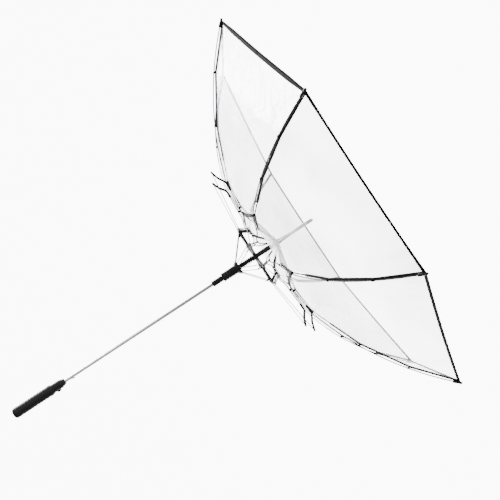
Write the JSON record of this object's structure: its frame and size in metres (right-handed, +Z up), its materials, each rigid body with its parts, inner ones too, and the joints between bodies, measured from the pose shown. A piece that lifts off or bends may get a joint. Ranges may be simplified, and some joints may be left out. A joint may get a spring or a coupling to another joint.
{
  "type": "clear umbrella",
  "caption": "Clear film umbrella with its canopy turned inside out; the ribs flip back to a dome, and the runner folds them towards the shaft.",
  "frame": {"origin": "middle of the grip's straight part, on the shaft's axis", "axes": "+Z up the shaft towards the ferrule; rib 1 lies over +X and the ribs follow every 45 degrees towards +Y; the button faces +X"},
  "size_m": [1.0166, 1.0166, 0.8914],
  "materials": {
    "clear_film": "hazy clear, glossy",
    "black_steel": "satin black enamel",
    "rib_steel": "dark grey rod, satin",
    "bright_wire": "plain wire",
    "chrome_shaft": "bright plated tube",
    "chrome_ferrule": "bright plated",
    "white_disc": "milky moulded plastic",
    "black_plastic": "black moulding",
    "black_spring": "black spring steel",
    "black_grip": "fine texture, satin"
  },
  "bodies": {
    "root": {"shaft": "chrome_shaft", "ferrule": "chrome_ferrule", "rosette": "white_disc", "rosette_ring": "black_plastic", "crown": "black_plastic", "crown_pins": "bright_wire", "canopy": "clear_film", "handle": "black_grip", "handle_cap": "black_grip", "catch": "bright_wire", "button_spring": "bright_wire"},
    "runner": {"hub": "black_plastic", "hub_pins": "bright_wire", "runner_tube": "black_plastic", "spring": "black_spring"},
    "sleeve": {"lower_sleeve": "black_plastic", "sleeve_pins": "bright_wire", "sleeve_tail": "black_plastic"},
    "button": {"button": "black_grip"},
    "arm_1": {"arm_1": "black_steel"},
    "inner_rib_1": {"inner_rib_1": "rib_steel", "brace_1": "black_steel"},
    "outer_rib_1": {"outer_rib_1": "rib_steel"},
    "tie_wire_1": {"tie_wire_1": "black_steel"},
    "arm_2": {"arm_2": "black_steel"},
    "inner_rib_2": {"inner_rib_2": "rib_steel", "brace_2": "black_steel"},
    "outer_rib_2": {"outer_rib_2": "rib_steel"},
    "tie_wire_2": {"tie_wire_2": "black_steel"},
    "arm_3": {"arm_3": "black_steel"},
    "inner_rib_3": {"inner_rib_3": "rib_steel", "brace_3": "black_steel"},
    "outer_rib_3": {"outer_rib_3": "rib_steel"},
    "tie_wire_3": {"tie_wire_3": "black_steel"},
    "arm_4": {"arm_4": "black_steel"},
    "inner_rib_4": {"inner_rib_4": "rib_steel", "brace_4": "black_steel"},
    "outer_rib_4": {"outer_rib_4": "rib_steel"},
    "tie_wire_4": {"tie_wire_4": "black_steel"},
    "arm_5": {"arm_5": "black_steel"},
    "inner_rib_5": {"inner_rib_5": "rib_steel", "brace_5": "black_steel"},
    "outer_rib_5": {"outer_rib_5": "rib_steel"},
    "tie_wire_5": {"tie_wire_5": "black_steel"},
    "arm_6": {"arm_6": "black_steel"},
    "inner_rib_6": {"inner_rib_6": "rib_steel", "brace_6": "black_steel"},
    "outer_rib_6": {"outer_rib_6": "rib_steel"},
    "tie_wire_6": {"tie_wire_6": "black_steel"},
    "arm_7": {"arm_7": "black_steel"},
    "inner_rib_7": {"inner_rib_7": "rib_steel", "brace_7": "black_steel"},
    "outer_rib_7": {"outer_rib_7": "rib_steel"},
    "tie_wire_7": {"tie_wire_7": "black_steel"},
    "arm_8": {"arm_8": "black_steel"},
    "inner_rib_8": {"inner_rib_8": "rib_steel", "brace_8": "black_steel"},
    "outer_rib_8": {"outer_rib_8": "rib_steel"},
    "tie_wire_8": {"tie_wire_8": "black_steel"}
  },
  "joints": [
    {"name": "runner_slide", "type": "slide", "parent": "root", "child": "runner", "axis": [0, 0, -1], "range_m": [0, 0.09418], "stiffness_N_per_m": 150, "springref_m": -0.04, "deforming": ["canopy"]},
    {"name": "sleeve_slide", "type": "slide", "parent": "root", "child": "sleeve", "axis": [0, 0, -1], "range_m": [0, 0.057], "deforming": ["spring"]},
    {"name": "button_press", "type": "slide", "parent": "root", "child": "button", "axis": [-1, 0, 0], "range_m": [0, 0.002], "stiffness_N_per_m": 800, "springref_m": -0.001, "deforming": ["button_spring"]},
    {"name": "arm_turn_1", "type": "hinge", "parent": "runner", "child": "arm_1", "pos_m": [0.01, 0, 0.624], "axis": [0, -1, 0], "range_deg": [0, 76.1]},
    {"name": "inner_rib_turn_1", "type": "hinge", "parent": "root", "child": "inner_rib_1", "pos_m": [0.0125, 0, 0.68], "axis": [0, 1, 0], "range_deg": [0, 40.1]},
    {"name": "rib_flip_1", "type": "hinge", "parent": "inner_rib_1", "child": "outer_rib_1", "pos_m": [0.19402, 0, 0.65738], "axis": [0, -1, 0], "range_deg": [-72, 0]},
    {"name": "tie_wire_turn_1", "type": "hinge", "parent": "sleeve", "child": "tie_wire_1", "pos_m": [0.015, 0, 0.576], "axis": [0, -1, 0], "range_deg": [0, 39.2]},
    {"name": "arm_turn_2", "type": "hinge", "parent": "runner", "child": "arm_2", "pos_m": [0.00707, 0.00707, 0.624], "axis": [0.7071, -0.7071, 0], "range_deg": [0, 76.1]},
    {"name": "inner_rib_turn_2", "type": "hinge", "parent": "root", "child": "inner_rib_2", "pos_m": [0.00884, 0.00884, 0.68], "axis": [-0.7071, 0.7071, 0], "range_deg": [0, 40.1]},
    {"name": "rib_flip_2", "type": "hinge", "parent": "inner_rib_2", "child": "outer_rib_2", "pos_m": [0.1372, 0.1372, 0.65738], "axis": [0.7071, -0.7071, 0], "range_deg": [-72, 0]},
    {"name": "tie_wire_turn_2", "type": "hinge", "parent": "sleeve", "child": "tie_wire_2", "pos_m": [0.01061, 0.01061, 0.576], "axis": [0.7071, -0.7071, 0], "range_deg": [0, 39.2]},
    {"name": "arm_turn_3", "type": "hinge", "parent": "runner", "child": "arm_3", "pos_m": [0, 0.01, 0.624], "axis": [1, 0, 0], "range_deg": [0, 76.1]},
    {"name": "inner_rib_turn_3", "type": "hinge", "parent": "root", "child": "inner_rib_3", "pos_m": [0, 0.0125, 0.68], "axis": [-1, 0, 0], "range_deg": [0, 40.1]},
    {"name": "rib_flip_3", "type": "hinge", "parent": "inner_rib_3", "child": "outer_rib_3", "pos_m": [0, 0.19402, 0.65738], "axis": [1, 0, 0], "range_deg": [-72, 0]},
    {"name": "tie_wire_turn_3", "type": "hinge", "parent": "sleeve", "child": "tie_wire_3", "pos_m": [0, 0.015, 0.576], "axis": [1, 0, 0], "range_deg": [0, 39.2]},
    {"name": "arm_turn_4", "type": "hinge", "parent": "runner", "child": "arm_4", "pos_m": [-0.00707, 0.00707, 0.624], "axis": [0.7071, 0.7071, 0], "range_deg": [0, 76.1]},
    {"name": "inner_rib_turn_4", "type": "hinge", "parent": "root", "child": "inner_rib_4", "pos_m": [-0.00884, 0.00884, 0.68], "axis": [-0.7071, -0.7071, 0], "range_deg": [0, 40.1]},
    {"name": "rib_flip_4", "type": "hinge", "parent": "inner_rib_4", "child": "outer_rib_4", "pos_m": [-0.1372, 0.1372, 0.65738], "axis": [0.7071, 0.7071, 0], "range_deg": [-72, 0]},
    {"name": "tie_wire_turn_4", "type": "hinge", "parent": "sleeve", "child": "tie_wire_4", "pos_m": [-0.01061, 0.01061, 0.576], "axis": [0.7071, 0.7071, 0], "range_deg": [0, 39.2]},
    {"name": "arm_turn_5", "type": "hinge", "parent": "runner", "child": "arm_5", "pos_m": [-0.01, 0, 0.624], "axis": [0, 1, 0], "range_deg": [0, 76.1]},
    {"name": "inner_rib_turn_5", "type": "hinge", "parent": "root", "child": "inner_rib_5", "pos_m": [-0.0125, 0, 0.68], "axis": [0, -1, 0], "range_deg": [0, 40.1]},
    {"name": "rib_flip_5", "type": "hinge", "parent": "inner_rib_5", "child": "outer_rib_5", "pos_m": [-0.19402, 0, 0.65738], "axis": [0, 1, 0], "range_deg": [-72, 0]},
    {"name": "tie_wire_turn_5", "type": "hinge", "parent": "sleeve", "child": "tie_wire_5", "pos_m": [-0.015, 0, 0.576], "axis": [0, 1, 0], "range_deg": [0, 39.2]},
    {"name": "arm_turn_6", "type": "hinge", "parent": "runner", "child": "arm_6", "pos_m": [-0.00707, -0.00707, 0.624], "axis": [-0.7071, 0.7071, 0], "range_deg": [0, 76.1]},
    {"name": "inner_rib_turn_6", "type": "hinge", "parent": "root", "child": "inner_rib_6", "pos_m": [-0.00884, -0.00884, 0.68], "axis": [0.7071, -0.7071, 0], "range_deg": [0, 40.1]},
    {"name": "rib_flip_6", "type": "hinge", "parent": "inner_rib_6", "child": "outer_rib_6", "pos_m": [-0.1372, -0.1372, 0.65738], "axis": [-0.7071, 0.7071, 0], "range_deg": [-72, 0]},
    {"name": "tie_wire_turn_6", "type": "hinge", "parent": "sleeve", "child": "tie_wire_6", "pos_m": [-0.01061, -0.01061, 0.576], "axis": [-0.7071, 0.7071, 0], "range_deg": [0, 39.2]},
    {"name": "arm_turn_7", "type": "hinge", "parent": "runner", "child": "arm_7", "pos_m": [0, -0.01, 0.624], "axis": [-1, 0, 0], "range_deg": [0, 76.1]},
    {"name": "inner_rib_turn_7", "type": "hinge", "parent": "root", "child": "inner_rib_7", "pos_m": [0, -0.0125, 0.68], "axis": [1, 0, 0], "range_deg": [0, 40.1]},
    {"name": "rib_flip_7", "type": "hinge", "parent": "inner_rib_7", "child": "outer_rib_7", "pos_m": [0, -0.19402, 0.65738], "axis": [-1, 0, 0], "range_deg": [-72, 0]},
    {"name": "tie_wire_turn_7", "type": "hinge", "parent": "sleeve", "child": "tie_wire_7", "pos_m": [0, -0.015, 0.576], "axis": [-1, 0, 0], "range_deg": [0, 39.2]},
    {"name": "arm_turn_8", "type": "hinge", "parent": "runner", "child": "arm_8", "pos_m": [0.00707, -0.00707, 0.624], "axis": [-0.7071, -0.7071, 0], "range_deg": [0, 76.1]},
    {"name": "inner_rib_turn_8", "type": "hinge", "parent": "root", "child": "inner_rib_8", "pos_m": [0.00884, -0.00884, 0.68], "axis": [0.7071, 0.7071, 0], "range_deg": [0, 40.1]},
    {"name": "rib_flip_8", "type": "hinge", "parent": "inner_rib_8", "child": "outer_rib_8", "pos_m": [0.1372, -0.1372, 0.65738], "axis": [-0.7071, -0.7071, 0], "range_deg": [-72, 0]},
    {"name": "tie_wire_turn_8", "type": "hinge", "parent": "sleeve", "child": "tie_wire_8", "pos_m": [0.01061, -0.01061, 0.576], "axis": [-0.7071, -0.7071, 0], "range_deg": [0, 39.2]}
  ],
  "couplings": [
    {"joint": "sleeve_slide", "follows": "runner_slide", "ratio": 0.60425},
    {"joint": "arm_turn_1", "follows": "runner_slide", "rad_per_m": 14.089},
    {"joint": "inner_rib_turn_1", "follows": "runner_slide", "rad_per_m": 7.4125},
    {"joint": "tie_wire_turn_1", "follows": "runner_slide", "rad_per_m": 7.2319},
    {"joint": "arm_turn_2", "follows": "runner_slide", "rad_per_m": 14.089},
    {"joint": "inner_rib_turn_2", "follows": "runner_slide", "rad_per_m": 7.4125},
    {"joint": "tie_wire_turn_2", "follows": "runner_slide", "rad_per_m": 7.2319},
    {"joint": "rib_flip_2", "follows": "rib_flip_1", "ratio": 1},
    {"joint": "arm_turn_3", "follows": "runner_slide", "rad_per_m": 14.089},
    {"joint": "inner_rib_turn_3", "follows": "runner_slide", "rad_per_m": 7.4125},
    {"joint": "tie_wire_turn_3", "follows": "runner_slide", "rad_per_m": 7.2319},
    {"joint": "rib_flip_3", "follows": "rib_flip_1", "ratio": 1},
    {"joint": "arm_turn_4", "follows": "runner_slide", "rad_per_m": 14.089},
    {"joint": "inner_rib_turn_4", "follows": "runner_slide", "rad_per_m": 7.4125},
    {"joint": "tie_wire_turn_4", "follows": "runner_slide", "rad_per_m": 7.2319},
    {"joint": "rib_flip_4", "follows": "rib_flip_1", "ratio": 1},
    {"joint": "arm_turn_5", "follows": "runner_slide", "rad_per_m": 14.089},
    {"joint": "inner_rib_turn_5", "follows": "runner_slide", "rad_per_m": 7.4125},
    {"joint": "tie_wire_turn_5", "follows": "runner_slide", "rad_per_m": 7.2319},
    {"joint": "rib_flip_5", "follows": "rib_flip_1", "ratio": 1},
    {"joint": "arm_turn_6", "follows": "runner_slide", "rad_per_m": 14.089},
    {"joint": "inner_rib_turn_6", "follows": "runner_slide", "rad_per_m": 7.4125},
    {"joint": "tie_wire_turn_6", "follows": "runner_slide", "rad_per_m": 7.2319},
    {"joint": "rib_flip_6", "follows": "rib_flip_1", "ratio": 1},
    {"joint": "arm_turn_7", "follows": "runner_slide", "rad_per_m": 14.089},
    {"joint": "inner_rib_turn_7", "follows": "runner_slide", "rad_per_m": 7.4125},
    {"joint": "tie_wire_turn_7", "follows": "runner_slide", "rad_per_m": 7.2319},
    {"joint": "rib_flip_7", "follows": "rib_flip_1", "ratio": 1},
    {"joint": "arm_turn_8", "follows": "runner_slide", "rad_per_m": 14.089},
    {"joint": "inner_rib_turn_8", "follows": "runner_slide", "rad_per_m": 7.4125},
    {"joint": "tie_wire_turn_8", "follows": "runner_slide", "rad_per_m": 7.2319},
    {"joint": "rib_flip_8", "follows": "rib_flip_1", "ratio": 1}
  ]
}
